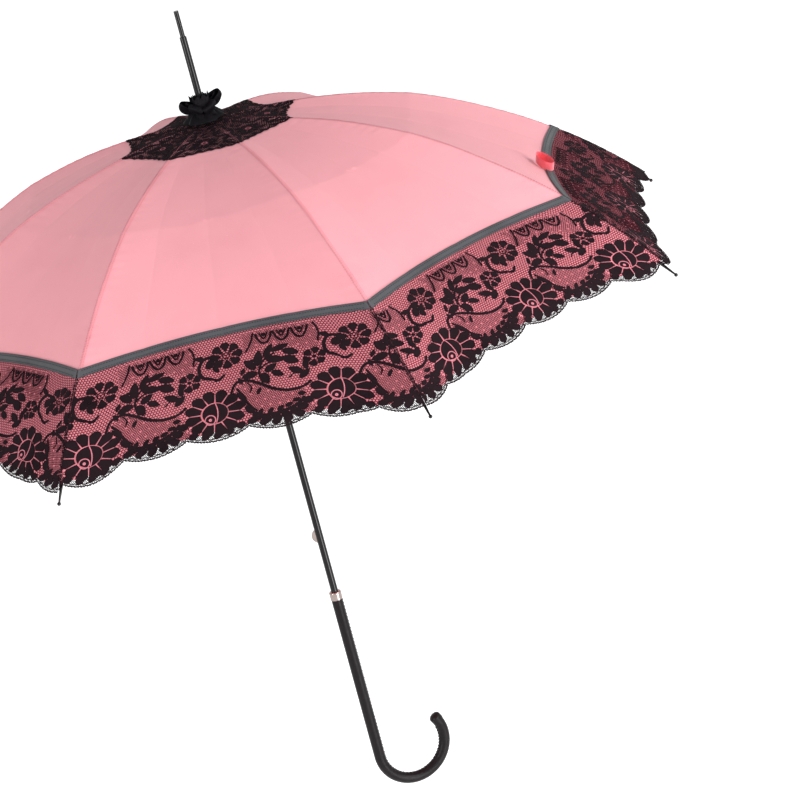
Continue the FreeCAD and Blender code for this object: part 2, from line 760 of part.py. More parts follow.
def cover():
    thick = dim("fabric_thick")
    second = dim("layer_gap")
    third = second + thick + dim("layer_gap")
    begin = dim("fabric_hole") - CROWN[0]
    corner = COVER_LENGTH - dim("corner_back")
    ribbon = INNER.length + dim("ribbon_along")

    def inner_edge(across):
        return begin

    def patch_edge(across):
        return dim("patch_along")

    def hem(across):
        return corner - dim("hem_rise") * bulge(across)

    def panel_hem(across):
        return hem(across) - dim("panel_short")

    def ribbon_upper(across):
        return ribbon - dim("ribbon_rise") * bulge(across)

    def ribbon_lower(across):
        return ribbon_upper(across) + dim("ribbon_width")

    layers = {"top_patch": [], "ribbon_trim": [], "lace_border": []}
    for number in range(RIBS):
        azimuth = number * STEP
        panel = doc.addObject("Part::Feature", "canopy_panel_%d" % (number + 1))
        panel.Shape = cover_layer(azimuth, inner_edge, panel_hem, -thick, 0.0, 17)
        node(panel, "canopy_panel_%d" % (number + 1))
        layers["top_patch"].append(
            cover_layer(azimuth, inner_edge, patch_edge, second, second + thick, 7)
        )
        layers["lace_border"].append(
            cover_layer(azimuth, ribbon_upper, hem, second, second + thick, 7)
        )
        layers["ribbon_trim"].append(
            cover_layer(azimuth, ribbon_upper, ribbon_lower, third, third + thick, 3)
        )
    for label, solids in layers.items():
        item = doc.addObject("Part::Feature", label)
        item.Shape = Part.makeCompound(solids)
        node(item, label)


def strap_block(name, inset, frame):
    """An upright block with round ends, its lower face in the frame's XY plane."""
    half = dim("strap_length") / 2
    radius = dim("strap_radius") - inset
    size = "dims.strap_radius - %g" % inset
    flat = box(
        name + "_flat",
        "dims.strap_length",
        "2 * (%s)" % size,
        "dims.strap_width",
        frame * moved(-half, -radius),
    )
    near = cylinder(name + "_near", size, "dims.strap_width", frame * moved(-half))
    far = cylinder(name + "_far", size, "dims.strap_width", frame * moved(half))
    return joined(name, [flat, near, far])


def tie_strap():
    """A flattened loop of ribbon that stands on its edge on the panel beside the first rib."""
    azimuth = dim("strap_azimuth")
    first = math.floor(azimuth / STEP) * STEP
    across = (azimuth - first) / STEP
    along = INNER.length + dim("strap_along")
    place = cover_place(first, along, across)
    ahead = cover_place(first, along + 1, across)
    slope = math.degrees(math.atan2(place.z - ahead.z, math.hypot(ahead.x - place.x, ahead.y - place.y)))
    frame = in_plane(first + STEP / 2, 0, 0, slope)
    frame.Base = place
    upright = FreeCAD.Placement(FreeCAD.Vector(), FreeCAD.Rotation(FreeCAD.Vector(1, 0, 0), 90))
    frame = frame * upright * moved(0, 0, dim("strap_lift")) * turned(dim("strap_turn"))
    loop = strap_block("strap_loop", 0.0, frame)
    well = strap_block("strap_well", dim("strap_thick"), frame)
    node(cut("tie_strap", loop, [well]), "tie_strap")


shaft(crown())
runner()
for index in range(RIBS):
    inner_rib(index + 1, index * STEP)
    outer_rib(index + 1, index * STEP)
    rib_tip(index + 1, index * STEP)
    stretcher(index + 1, index * STEP)
ferrule()
rosette()
handle()
collar()
cover()
tie_strap()

doc.recompute()

for item in doc.Objects:
    if "Invalid" in item.State or "Error" in item.State:
        raise RuntimeError("failed: %s %s" % (item.Name, item.State))
for item in nodes:
    if item.Shape.isNull() or not item.Shape.isValid():
        raise RuntimeError("bad shape: " + item.Label)

os.makedirs("parts", exist_ok=True)
for item in nodes:
    item.Shape.exportStep("parts/%s.step" % item.Label)
print(len(nodes), "nodes")
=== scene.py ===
import math
import random

import bmesh
import bpy
import numpy as np
from mathutils import Matrix, Vector


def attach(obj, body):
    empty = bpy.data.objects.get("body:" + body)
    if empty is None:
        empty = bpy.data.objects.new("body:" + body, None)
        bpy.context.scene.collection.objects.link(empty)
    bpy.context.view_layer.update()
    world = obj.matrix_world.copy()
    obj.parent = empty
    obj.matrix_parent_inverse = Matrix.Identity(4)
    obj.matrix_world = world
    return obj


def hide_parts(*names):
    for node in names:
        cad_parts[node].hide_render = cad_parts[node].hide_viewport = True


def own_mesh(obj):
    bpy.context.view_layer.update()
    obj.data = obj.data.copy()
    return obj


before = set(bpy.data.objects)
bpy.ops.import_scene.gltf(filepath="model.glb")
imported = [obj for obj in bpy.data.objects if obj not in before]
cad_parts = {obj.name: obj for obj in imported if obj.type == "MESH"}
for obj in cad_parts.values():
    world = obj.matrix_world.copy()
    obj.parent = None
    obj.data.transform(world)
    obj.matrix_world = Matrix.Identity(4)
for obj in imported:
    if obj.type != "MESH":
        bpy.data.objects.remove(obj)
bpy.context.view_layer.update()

# The cover's shape repeats part.py's. Lengths are in millimetres until a mesh is made.

MM = 0.001
STEP = math.pi / 4
RIBS = 8
CROWN = (9.0, 648.0)
LINK = 222.3
OPEN = math.radians(79.2)
JOINT = (CROWN[0] + LINK * math.sin(OPEN), CROWN[1] - LINK * math.cos(OPEN))
DROOP = math.radians(35.8)
BALL = (JOINT[0] + 308.4 * math.cos(DROOP), JOINT[1] - 308.4 * math.sin(DROOP))
FABRIC_LIFT = 4.1
FABRIC_HOLE = 6.0
PANEL_SAG = 8.0
CORNER_BACK = 10.0
HEM_RISE = 15.0
PINK_SHORT = 11.0
PATCH_ALONG = 91.0
RIBBON_ALONG = 171.0
RIBBON_RISE = 15.0
RIBBON_WIDTH = 9.5
CORNER_HANG = 60.0
CORNER_DROP = 5.0
SPLIT_LEAN = 38.0
FLOWER_OVER_HEM = 31.0


class Arc:
    """A bowed rib: a circular arc from one place to another that rises over its chord."""

    def __init__(self, start, end, rise):
        run = end[0] - start[0]
        drop = end[1] - start[1]
        chord = math.hypot(run, drop)
        self.radius = (chord**2 / 4 + rise**2) / (2 * rise)
        self.half = math.asin(chord / (2 * self.radius))
        lift = (self.radius - rise) / chord
        self.centre = (start[0] + end[0]) / 2 + drop * lift, (start[1] + end[1]) / 2 - run * lift
        self.length = 2 * self.half * self.radius
        self.droop = math.atan2(-drop, run)

    def place(self, along, lift):
        where = self.droop - math.pi / 2 - self.half + along / self.radius
        reach = self.radius + lift
        return self.centre[0] + reach * np.cos(where), self.centre[1] - reach * np.sin(where)


INNER = Arc(CROWN, JOINT, 9.3)
OUTER = Arc(JOINT, BALL, 16.0)
LENGTH = INNER.length + OUTER.length
CORNER = LENGTH - CORNER_BACK


def seam_place(along):
    """Radius and height of the cover over a rib."""
    inner = INNER.place(along, FABRIC_LIFT)
    outer = OUTER.place(along - INNER.length, FABRIC_LIFT)
    on_inner = along <= INNER.length
    return np.where(on_inner, inner[0], outer[0]), np.where(on_inner, inner[1], outer[1])


def gore_width(along):
    return 2 * seam_place(along)[0] * math.sin(STEP / 2)


def pucker(along, share):
    """Small waves where the cloth is sewn over a rib, and the creases it was folded on."""
    width = gore_width(along)
    near = np.minimum(share, 1 - share) * width
    ripple = 0.35 * np.exp(-near / 8) * np.sin(along * 0.46 + np.sin(along * 0.07) * 2)
    fade = np.clip((along - 60) / 60, 0, 1)
    crease = 0.0
    for place in (0.22, 0.5, 0.76):
        crease = crease - 0.45 * np.exp(-(np.abs(share - place) * width) / 5)
    pull = 0.8 * np.exp(-near / 30) * np.sin(along * 0.055 + share * 9)
    held = 1 - np.exp(-near / 2.5)
    return held * (ripple + fade * (crease + 0.5 * pull))


def cover_point(number, along, share):
    """The cover's outer face on a gore, share running from its own rib to the next."""
    radius, height = seam_place(along)
    left = (number - 1) * STEP
    right = number * STEP
    x = radius * ((1 - share) * math.cos(left) + share * math.cos(right))
    y = radius * ((1 - share) * math.sin(left) + share * math.sin(right))
    reach = np.clip(along / CORNER, 0, 1)
    sag = PANEL_SAG * 4 * share * (1 - share) * np.sin(math.pi * reach)
    sag = sag - pucker(along, share)
    middle = left + STEP / 2
    slope = np.arctan2(seam_place(along - 1)[1] - seam_place(along + 1)[1], 2.0)
    inward = sag * np.sin(slope)
    place = x - inward * math.cos(middle), y - inward * math.sin(middle)
    return np.stack([*place, height - sag * np.cos(slope)], axis=-1)


def on_cover(number, along, share, lift):
    """Places lift over the cover, and the cover's normals there."""
    along = np.asarray(along, float)
    share = np.asarray(share, float)
    base = cover_point(number, along, share)
    run = cover_point(number, along + 0.5, share) - base
    side = cover_point(number, along, share + 0.002) - base
    normal = np.cross(run, side)
    normal = normal / np.linalg.norm(normal, axis=-1, keepdims=True)
    return base + normal * np.asarray(lift, float)[..., None], normal


def bulge(share):
    return 4 * share * (1 - share)


def hem_line(share):
    """The border's edge. It hangs a little lower beside each rib."""
    beside = np.clip(np.minimum(share, 1 - share) * 350 / CORNER_HANG, 0, 1)
    return CORNER - HEM_RISE * bulge(share) + CORNER_DROP * np.sin(math.pi * beside)


def ribbon_line(share):
    return INNER.length + RIBBON_ALONG - RIBBON_RISE * bulge(share)


def split_line(share):
    """Where the cover is divided, square to the rib at the stretcher joint."""
    return INNER.length + SPLIT_LEAN * 2 * np.minimum(share, 1 - share)


def turned(x, y, angle):
    """A flat place turned about the origin, its angle in radians."""
    return x * math.cos(angle) - y * math.sin(angle), x * math.sin(angle) + y * math.cos(angle)


def shown(name, data):
    """A new object in the scene."""
    item = bpy.data.objects.new(name, data)
    bpy.context.scene.collection.objects.link(item)
    return item


# Materials


def shader(name, colour, roughness, specular=0.5, **sockets):
    material = bpy.data.materials.new(name)
    material.use_nodes = True
    principled = material.node_tree.nodes["Principled BSDF"]
    principled.inputs["Base Color"].default_value = (*colour, 1)
    principled.inputs["Roughness"].default_value = roughness
    principled.inputs["Specular IOR Level"].default_value = specular
    for socket, value in sockets.items():
        principled.inputs[socket.replace("_", " ")].default_value = value
    return material, principled


def node(material, kind, **settings):
    item = material.node_tree.nodes.new(kind)
    for name, value in settings.items():
        setattr(item, name, value)
    return item


def link(material, source, target):
    material.node_tree.links.new(source, target)


def coordinates(material, output):
    return node(material, "ShaderNodeTexCoord").outputs[output]


def noise(material, source, scale, detail=3.0):
    item = node(material, "ShaderNodeTexNoise")
    item.inputs["Scale"].default_value = scale
    item.inputs["Detail"].default_value = detail
    link(material, source, item.inputs["Vector"])
    return item.outputs["Fac"]


def wave(material, source, scale, direction):
    item = node(material, "ShaderNodeTexWave", bands_direction=direction)
    item.inputs["Scale"].default_value = scale
    item.inputs["Distortion"].default_value = 0.4
    item.inputs["Detail"].default_value = 1.0
    item.inputs["Detail Scale"].default_value = 2.0
    link(material, source, item.inputs["Vector"])
    return item.outputs["Fac"]


def combine(material, operation, first, second):
    item = node(material, "ShaderNodeMath", operation=operation)
    link(material, first, item.inputs[0])
    link(material, second, item.inputs[1])
    return item.outputs[0]


def tint(material, source, target, low, high, start, end):
    """Colours a socket between low and high by a pattern."""
    ramp = node(material, "ShaderNodeValToRGB")
    for index, place, colour in ((0, start, low), (1, end, high)):
        ramp.color_ramp.elements[index].position = place
        ramp.color_ramp.elements[index].color = (*colour, 1)
    link(material, source, ramp.inputs["Fac"])
    link(material, ramp.outputs["Color"], target)


def bump(material, principled, source, distance, strength=0.6):
    item = node(material, "ShaderNodeBump")
    item.inputs["Distance"].default_value = distance
    item.inputs["Strength"].default_value = strength
    link(material, source, item.inputs["Height"])
    link(material, item.outputs["Normal"], principled.inputs["Normal"])


def woven(name, low, high, roughness, pitch, **sockets):
    """Cloth with a weave of a given pitch in metres, on the mesh's own metres."""
    material, principled = shader(name, high, roughness, **sockets)
    place = coordinates(material, "UV")
    scale = 2 * math.pi / pitch / 20
    warp = wave(material, place, scale, "X")
    weft = wave(material, place, scale, "Y")
    weave = combine(material, "MULTIPLY", warp, weft)
    mottle = noise(material, place, 18.0)
    fibre = noise(material, place, 900.0, 2.0)
    blend = combine(material, "ADD", mottle, fibre)
    tint(material, blend, principled.inputs["Base Color"], low, high, 0.7, 1.0)
    bump(material, principled, combine(material, "ADD", weave, fibre), pitch * 0.3)
    return material


def grained(name, low, high, roughness, scale, depth, **sockets):
    """A surface whose colour and height vary with a fine noise."""
    material, principled = shader(name, high, roughness, **sockets)
    place = coordinates(material, "Object")
    grain = noise(material, place, scale, 4.0)
    tint(material, grain, principled.inputs["Base Color"], low, high, 0.3, 0.7)
    bump(material, principled, grain, depth)
    return material


PINK = woven(
    "pink_cloth", (0.705, 0.286, 0.320), (0.745, 0.312, 0.346), 0.7, 0.0009,
    Sheen_Weight=0.12, Sheen_Roughness=0.5, specular=0.08,
)
PINK_SEAM = woven(
    "pink_seam", (0.715, 0.258, 0.293), (0.755, 0.284, 0.320), 0.7, 0.0009,
    Sheen_Weight=0.08, specular=0.08,
)
# painted shade: the cloth under the lace border is a darker, redder pink than the rest, standing in
# for the shade the lace casts on it
PINK_SHADED_UNDER_LACE = woven(
    "pink_painted_shade_under_lace", (0.780, 0.226, 0.270), (0.820, 0.252, 0.298), 0.8, 0.0009, specular=0.05
)
PINK_THREAD = woven("pink_thread", (0.50, 0.13, 0.16), (0.60, 0.17, 0.20), 0.6, 0.0005)
LACE = woven(
    "black_lace", (0.006, 0.0030, 0.0042), (0.015, 0.0080, 0.0105), 0.85, 0.0011, specular=0.04
)
NET = woven(
    "lace_net", (0.026, 0.006, 0.009), (0.050, 0.011, 0.016), 0.9, 0.0011, specular=0.02
)
LACE_LINE = woven(
    "lace_line", (0.44, 0.130, 0.165), (0.58, 0.190, 0.230), 0.8, 0.0011, specular=0.05
)
LACE_WORK = [LACE, NET, LACE_LINE]
GROSGRAIN = woven(
    "grosgrain", (0.050, 0.049, 0.055), (0.078, 0.078, 0.085), 0.65, 0.0012,
    specular=0.15, Sheen_Weight=0.08,
)
RIBBON_EDGE = woven("ribbon_edge", (0.020, 0.024, 0.026), (0.04, 0.046, 0.05), 0.6, 0.0006)
RIBBON_STITCH = woven("ribbon_stitch", (0.006, 0.007, 0.008), (0.012, 0.014, 0.015), 0.7, 0.0005)
STRAP = woven(
    "coral_ribbon", (0.90, 0.115, 0.150), (1.0, 0.175, 0.210), 0.45, 0.0008,
    Sheen_Weight=0.3, specular=0.35,
)
ORGANZA = woven(
    "organza", (0.0015, 0.0014, 0.002), (0.006, 0.005, 0.0065), 0.5, 0.0010, specular=0.06
)
GLOSS_BLACK = grained(
    "gloss_black", (0.002, 0.0015, 0.0018), (0.005, 0.004, 0.0045), 0.06, 40.0, 0.000005,
    specular=0.24,
)
SATIN_BLACK = grained(
    "satin_black", (0.006, 0.006, 0.006), (0.014, 0.013, 0.014), 0.36, 220.0, 0.00003, specular=0.2
)
NICKEL = grained(
    "nickel_plate", (0.29, 0.235, 0.22), (0.39, 0.325, 0.305), 0.2, 90.0, 0.00001, Metallic=1.0
)
STEEL = grained(
    "steel_wire", (0.36, 0.36, 0.37), (0.55, 0.55, 0.56), 0.3, 300.0, 0.00002, Metallic=1.0
)
LEATHER = grained(
    "black_leather", (0.004, 0.003, 0.0035), (0.009, 0.007, 0.008), 0.34, 900.0, 0.0003, specular=0.11
)
LEATHER_THREAD = grained(
    "leather_thread", (0.015, 0.015, 0.016), (0.05, 0.048, 0.048), 0.5, 1500.0, 0.0001
)
MOULDED = grained("moulded_core", (0.02, 0.02, 0.02), (0.04, 0.04, 0.04), 0.55, 400.0, 0.00008)

CAD_MATERIALS = {
    "shaft": GLOSS_BLACK,
    "ferrule": GLOSS_BLACK,
    "ferrule_nose": GLOSS_BLACK,
    "crown_wire": STEEL,
    "crown_pin": STEEL,
    "runner_wire": STEEL,
    "collar": NICKEL,
    "catch_upper": NICKEL,
    "catch_lower": NICKEL,
    "handle_core": MOULDED,
    "handle_cap": LEATHER,
}
for name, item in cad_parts.items():
    plain = GLOSS_BLACK if name.startswith("rib_tip") else SATIN_BLACK
    for entry in item.material_slots:
        entry.material = CAD_MATERIALS.get(name, plain)


# Meshes


def make_mesh(name, points, faces, materials, uvs=None, marks=None, normals=None):
    """An object from points in millimetres. uvs are per point, in metres, marks per face."""
    mesh = bpy.data.meshes.new(name)
    mesh.from_pydata((np.asarray(points, float) * MM).tolist(), [], faces)
    for material in materials:
        mesh.materials.append(material)
    if marks is not None:
        mesh.polygons.foreach_set("material_index", np.asarray(marks, dtype=np.int32))
    mesh.polygons.foreach_set("use_smooth", np.ones(len(mesh.polygons), dtype=bool))
    if uvs is not None:
        layer = mesh.uv_layers.new(name="metres")
        corner = np.zeros(len(mesh.loops), dtype=np.int32)
        mesh.loops.foreach_get("vertex_index", corner)
        layer.data.foreach_set("uv", np.asarray(uvs, np.float32)[corner].ravel())
    mesh.update()
    if normals is not None:
        mesh.normals_split_custom_set_from_vertices(np.asarray(normals, float).tolist())
    return shown(name, mesh)


def grid_faces(rows, columns, first=0):
    faces = []
    for row in range(rows - 1):
        for column in range(columns - 1):
            corner = first + row * columns + column
            faces.append([corner, corner + columns, corner + columns + 1, corner + 1])
    return faces


def ring_faces(rows, columns, first=0):
    """Faces between rows of points that each close on themselves."""
    faces = []
    for row in range(rows - 1):
        for column in range(columns):
            after = (column + 1) % columns
            a = first + row * columns
            b = a + columns
            faces.append([a + column, a + after, b + after, b + column])
    return faces


def settle(piece, cad_node):
    """Fixes a piece to the shaft in place of its CAD node."""
    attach(piece, "root")
    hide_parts(cad_node)


class Cloth:
    """Collects the parts of one piece of the cover, given in along, share and lift."""

    def __init__(self, number, side):
        self.number = number
        self.side = side
        self.points = []
        self.normals = []
        self.uvs = []
        self.faces = []
        self.marks = []
        self.count = 0

    def share(self, fraction):
        return fraction if self.side == 0 else 1 - fraction

    def add(self, along, fraction, lift, faces, mark=0, uvs=None):
        """Adds faces. fraction runs from 0 at the piece's own rib to a half at mid-gore."""
        along = np.asarray(along, float)
        fraction = np.asarray(fraction, float)
        places, normals = on_cover(self.number, along, self.share(fraction), lift)
        if uvs is None:
            across = fraction * gore_width(along)
            uvs = np.stack([along * MM, across * MM], axis=-1)
        for face in faces:
            ring = [self.count + index for index in face]
            self.faces.append(ring[::-1] if self.side == 1 else ring)
        self.marks += [mark] * len(faces)
        self.points.append(places)
        self.normals.append(normals)
        self.uvs.append(uvs)
        self.count += len(places)

    def sheet(self, start, end, rows, columns, lift, mark=0):
        """A grid between two edges given as functions of the fraction."""
        fraction = 0.5 * np.linspace(0, 1, columns)
        share = np.linspace(0, 1, rows)[:, None]
        begin = start(fraction)[None, :]
        stop = end(fraction)[None, :]
        along = begin + (stop - begin) * share
        across = np.broadcast_to(fraction[None, :], along.shape)
        self.add(along.ravel(), across.ravel(), lift, grid_faces(rows, columns), mark)

    def lay(self, work, along, fraction):
        """Adds flat work drawn in millimetres, as half_pattern gives it."""
        places, rings, kinds = work
        lifted = LACE_LIFT + places[:, 2]
        self.add(along, np.clip(fraction, 0, 0.5), lifted, rings, 0, places[:, :2] * MM)
        self.marks = kinds

    def finish(self, stem, materials, outer, stands_for):
        """The piece as an object that rides on its rib in place of a CAD node."""
        piece = make_mesh(
            "%s_%d_%s" % (stem, self.number, "ab"[self.side]),
            np.concatenate(self.points),
            self.faces,
            materials,
            np.concatenate(self.uvs),
            self.marks,
            np.concatenate(self.normals),
        )
        gather(piece, self.number, self.side, outer)
        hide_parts(stands_for)
        return piece


# Flat patterns, drawn in millimetres


def smooth_path(controls, steps):
    """A curve through the control points."""
    points = [Vector(p) for p in controls]
    points = [2 * points[0] - points[1]] + points + [2 * points[-1] - points[-2]]
    path = []
    for index in range(1, len(points) - 2):
        a, b, c, d = points[index - 1 : index + 3]
        for step in range(steps):
            t = step / steps
            place = 0.5 * (
                2 * b + (c - a) * t + (2 * a - 5 * b + 4 * c - d) * t**2
                + (3 * b - a - 3 * c + d) * t**3
            )
            path.append((place.x, place.y))
    path.append(tuple(points[-2]))
    return path


class Pattern:
    """Flat shapes with a small rise, in the plane of the lace."""

    def __init__(self):
        self.points = []
        self.faces = []
        self.marks = []

    def add(self, points, faces, mark=0):
        first = len(self.points)
        self.points += points
        self.faces += [[first + index for index in face] for face in faces]
        self.marks += [mark] * len(faces)

    def fan(self, outline, rise=0.6):
        count = len(outline)
        x = sum(p[0] for p in outline) / count
        y = sum(p[1] for p in outline) / count
        points = [(p[0], p[1], 0.3) for p in outline]
        points += [(x + (p[0] - x) * 0.6, y + (p[1] - y) * 0.6, rise) for p in outline]
        points.append((x, y, rise * 1.1))
        faces = []
        for i in range(count):
            after = (i + 1) % count
            faces.append([i, after, count + after, count + i])
            faces.append([count + i, count + after, 2 * count])
        self.add(points, faces)

    def leaf(self, x, y, length, width, angle, point=0.45, sides=12):
        """A leaf or petal, its blunt end back along its angle."""
        turn = math.radians(angle)
        outline = []
        for i in range(sides):
            a = 2 * math.pi * i / sides
            run = math.cos(a) * length / 2
            slim = 1 - point * max(0.0, math.cos(a)) ** 1.5
            rise = math.sin(a) * width / 2 * slim
            ahead, aside = turned(run, rise, turn)
            outline.append((x + ahead, y + aside))
        self.fan(outline)

    def stroke(self, path, width, taper=0.0, rise=0.55, closed=False, mark=0):
        count = len(path)
        points = []
        for i, place in enumerate(path):
            before = path[i - 1] if i or closed else path[0]
            after = path[(i + 1) % count] if i < count - 1 or closed else path[-1]
            run = (after[0] - before[0], after[1] - before[1])
            size = math.hypot(*run) or 1.0
            t = abs(2 * i / (count - 1) - 1)
            half = width / 2 * (1 - taper * t)
            across = (-run[1] / size * half, run[0] / size * half)
            foot = 0.32 if mark == 0 else rise - 0.05
            points.append((place[0] - across[0], place[1] - across[1], foot))
            points.append((place[0], place[1], rise))
            points.append((place[0] + across[0], place[1] + across[1], foot))
        faces = []
        for i in range(count if closed else count - 1):
            after = (i + 1) % count
            for j in (0, 1):
                faces.append([3 * i + j, 3 * after + j, 3 * after + j + 1, 3 * i + j + 1])
        self.add(points, faces, mark)

    def curve(self, controls, width, taper=0.0, rise=0.55, mark=0, steps=6):
        """A stroke along a smooth path through the control points."""
        self.stroke(smooth_path(controls, steps), width, taper, rise, mark=mark)

    def ring(self, x, y, radius, width, start=0.0, end=360.0, rise=0.55, mark=0):
        whole = end - start >= 360
        count = max(8, int(radius * abs(end - start) / 90))
        path = []
        for i in range(count if whole else count + 1):
            a = math.radians(start + (end - start) * i / count)
            path.append((x + radius * math.cos(a), y + radius * math.sin(a)))
        self.stroke(path, width, rise=rise, closed=whole, mark=mark)

    def flower(self, x, y, inner, outer, petals, squeeze=1.0, gap=1.0, turn=0.0):
        """Round-ended petals about a middle, with narrow gaps between them."""
        for index in range(petals):
            middle = turn + 2 * math.pi * index / petals
            outline = []
            for t in (-1.0, -0.8, -0.45, 0.0, 0.45, 0.8, 1.0):
                reach = outer * (1 - 0.17 * t * t)
                half = math.pi / petals - gap / 9 / reach
                outline.append((reach, middle + half * t))
            back = math.pi / petals - gap / 2 / inner
            outline += [(inner, middle + back), (inner, middle), (inner, middle - back)]
            self.fan([(x + r * math.cos(a), y + squeeze * r * math.sin(a)) for r, a in outline])


REPEAT = 126.0
LACE_REACH = 190.0
SCALLOP_DEPTH = 8.5
THREAD_RISE = 0.3


def hem_wave(x):
    """The lace's scalloped edge under a flower, two scallops to a repeat."""
    dip = np.abs(np.cos(np.pi * np.asarray(x) / (REPEAT / 2))) ** 0.8
    return -FLOWER_OVER_HEM + SCALLOP_DEPTH * (1 - dip)


def lace_repeat():
    """One repeat of the border, drawn about the middle of its large flower.

    Mark 0 is the solid cloth work, 1 the net and 2 the pink outlines over it.
    """
    art = Pattern()
    art.flower(0, 0, 14.2, 31, 12, 0.86, 1.5, 0.13)
    for side in (-1, 1):
        half_disc = []
        for index in range(13):
            a = math.radians(-90 + 15 * index)
            half_disc.append((0.4 + side * (13.2 * math.cos(a) - 0.3), 11.4 * math.sin(a)))
        art.fan(half_disc if side == 1 else half_disc[::-1])
    art.curve([(2.2, 11), (3.4, 4), (2.8, -4), (0.4, -11)], 0.95, rise=0.75, mark=2)
    art.ring(-5.2, -6.6, 5.3, 1.0, rise=0.75, mark=2)
    art.ring(-5.2, -6.6, 1.0, 1.4, rise=0.75, mark=2)
    for index in range(12):
        a = 0.13 + 2 * math.pi * (index + 0.5) / 12
        far = 24.5 - 4.5 * (index % 3 == 0)
        path = [(r * math.cos(a), 0.86 * r * math.sin(a)) for r in (14.6, far)]
        art.stroke(path, 0.75, rise=0.7, mark=2)
    # leaf spray
    for x, y, length, width, angle in (
        (-84, 46, 15, 7, 128), (-75, 52, 17, 7.5, 78), (-64, 59, 16, 6, 56),
        (-52, 60, 17, 6, 14), (-58, 47, 17, 7.5, -12), (-64, 38, 13, 6.5, 30),
        (-71, 27, 13, 8, -70), (-86, 34, 15, 7, 188), (-42, 53, 15, 7, -20),
        (-44, 43, 16, 7.5, 155), (-58, 30, 12, 6, -30), (-40, 30, 15, 6.5, 150),
        (-32, 24, 13, 6, 40), (-30, 34, 10, 5, 100),
    ):
        art.leaf(x, y, 1.12 * length, 1.25 * width, angle)
    art.curve([(-74, 22), (-76, 36), (-70, 48), (-58, 55)], 2.3)
    art.curve([(-76, 38), (-66, 44), (-50, 48), (-38, 46)], 2.1)
    art.curve([(-48, 22), (-40, 27), (-28, 22)], 1.4)
    # small and upper flowers
    art.flower(-20, 42, 3.0, 12.0, 6, 0.95, 2.6, 0.3)
    art.leaf(-20, 42, 4.2, 4.2, 0, 0.0, 8)
    art.flower(20, 64, 5.4, 17.0, 8, 0.95, 2.6)
    art.ring(20, 64, 3.6, 1.3)
    art.leaf(20, 64, 2.4, 2.4, 0, 0.0, 8)
    # scroll with its bud, and its twig
    art.curve([(2, 40), (-6, 44), (-9, 54), (-4, 64), (5, 66), (10, 60), (8, 53)], 3.6)
    art.curve([(2, 40), (9, 37), (16, 42)], 3.6, 0.4)
    art.leaf(3, 58, 13, 9, 60, 0.2)
    art.leaf(8, 50, 9, 6, -60, 0.2)
    art.leaf(-7, 67, 11, 6, 160, 0.3)
    for x, y, angle in ((34, 40, 60), (30, 30, 110), (44, 50, 20), (40, 34, -30)):
        art.leaf(x, y, 9, 4.5, angle)
    # loops under the ribbon
    for x in (-66, -48, -30):
        diamond = [(x - 8.5, 82), (x - 5, 72.5), (x, 68.5), (x + 5, 72.5), (x + 8.5, 82)]
        art.curve(diamond, 2.4, steps=4)
        art.curve([(x - 4.5, 82), (x, 74), (x + 4.5, 82)], 1.8, steps=4)
        art.leaf(x, 79.5, 4.5, 4.5, 0, 0.0, 8)
    art.curve([(-76, 84), (-80, 72), (-86, 62)], 2.0)
    art.curve([(-16, 84), (-12, 72), (-14, 60)], 2.0)
    # curved stem over the pocket, its twig, and the garland below
    stem = [(-107, 18), (-101, 28), (-90, 29), (-77, 22), (-64, 13), (-48, 8), (-34, 10), (-27, 15)]
    art.curve(stem, 3.5, 0.25)
    art.curve([(-101, 22), (-95, 12), (-92, 2), (-84, -8)], 2.8, 0.2)
    art.curve([(-90, 27), (-86, 20), (-88, 14)], 1.7, 0.3)
    art.leaf(-98, 12, 13, 5, 118)
    art.leaf(-79, 14, 9, 4, 60)
    garland = [
        (-94, 0), (-88, -9), (-79, -14), (-69, -15), (-59, -14), (-50, -12), (-42, -8), (-36, -2),
    ]
    art.curve(garland, 4.2, 0.3)
    for index, (x, y) in enumerate(garland):
        art.leaf(x + 3, y - 4.5, 11.5, 8.5, -60 + 9 * index, 0.1)
        art.leaf(x - 2, y + 4.0, 8.5, 5.0, 80 - 12 * index, 0.4)
    for x in (-90, -79, -67, -55, -43):
        art.leaf(x, float(hem_wave(x)) + 7.4, 10.4, 7.6, 8, 0.0)
    for x in (-24, -12, 0, 12, 24):
        art.leaf(x, float(hem_wave(x)) + 6.8, 10.0, 7.8, 20, 0.0)
    # double edge
    across = [-REPEAT / 2 + REPEAT * index / 84 for index in range(85)]
    edge = [(x, float(hem_wave(x))) for x in across]
    wobbles = [0.55 * math.sin(index * 1.5) for index in range(85)]
    art.stroke([(x, y + 2.9 + wobble) for (x, y), wobble in zip(edge, wobbles)], 1.2)
    art.stroke([(x, y + 0.4 - 0.6 * wobble) for (x, y), wobble in zip(edge, wobbles)], 1.5)
    for x, y in edge[::2]:
        art.leaf(x, y - 0.4, 1.5, 1.4, 0, 0.0, 6)
    return art


